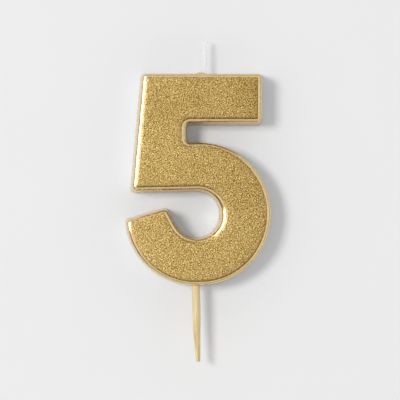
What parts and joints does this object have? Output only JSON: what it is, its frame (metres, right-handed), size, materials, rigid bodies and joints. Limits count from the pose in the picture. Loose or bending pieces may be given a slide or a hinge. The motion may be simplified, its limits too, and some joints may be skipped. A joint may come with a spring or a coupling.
{
  "type": "number birthday candle",
  "caption": "Moulded wax numeral candle with a glitter face, metallic gold walls, a short waxed wick on top and a wooden pick below.",
  "frame": {"origin": "middle of the box of the whole candle, at the level of its flat back, on which it lies", "axes": "+Z out of the numeral's face, +Y up the numeral towards the wick (the pick points to -Y), +X to the reader's right"},
  "size_m": [0.0521, 0.1138, 0.012],
  "materials": {
    "wax": "paraffin wax, tinted, bare on the flat back",
    "gold_coat": "glossy metallic gold lacquer on wax",
    "glitter": "fine gold glitter in clear lacquer",
    "cotton": "white braided cotton, soaked with wax",
    "clear_wax": "translucent white wax, smooth",
    "gold_wax": "gold wax, glossy",
    "bamboo": "bare bamboo, long straight grain"
  },
  "bodies": {
    "root": {"wax_core": "wax", "gold_coat": "gold_coat", "glitter_face": "glitter", "wick_cotton": "cotton", "wick_wax": "clear_wax", "wick_collar": "gold_wax", "pick": "bamboo", "pick_seal": "gold_wax"}
  },
  "joints": []
}
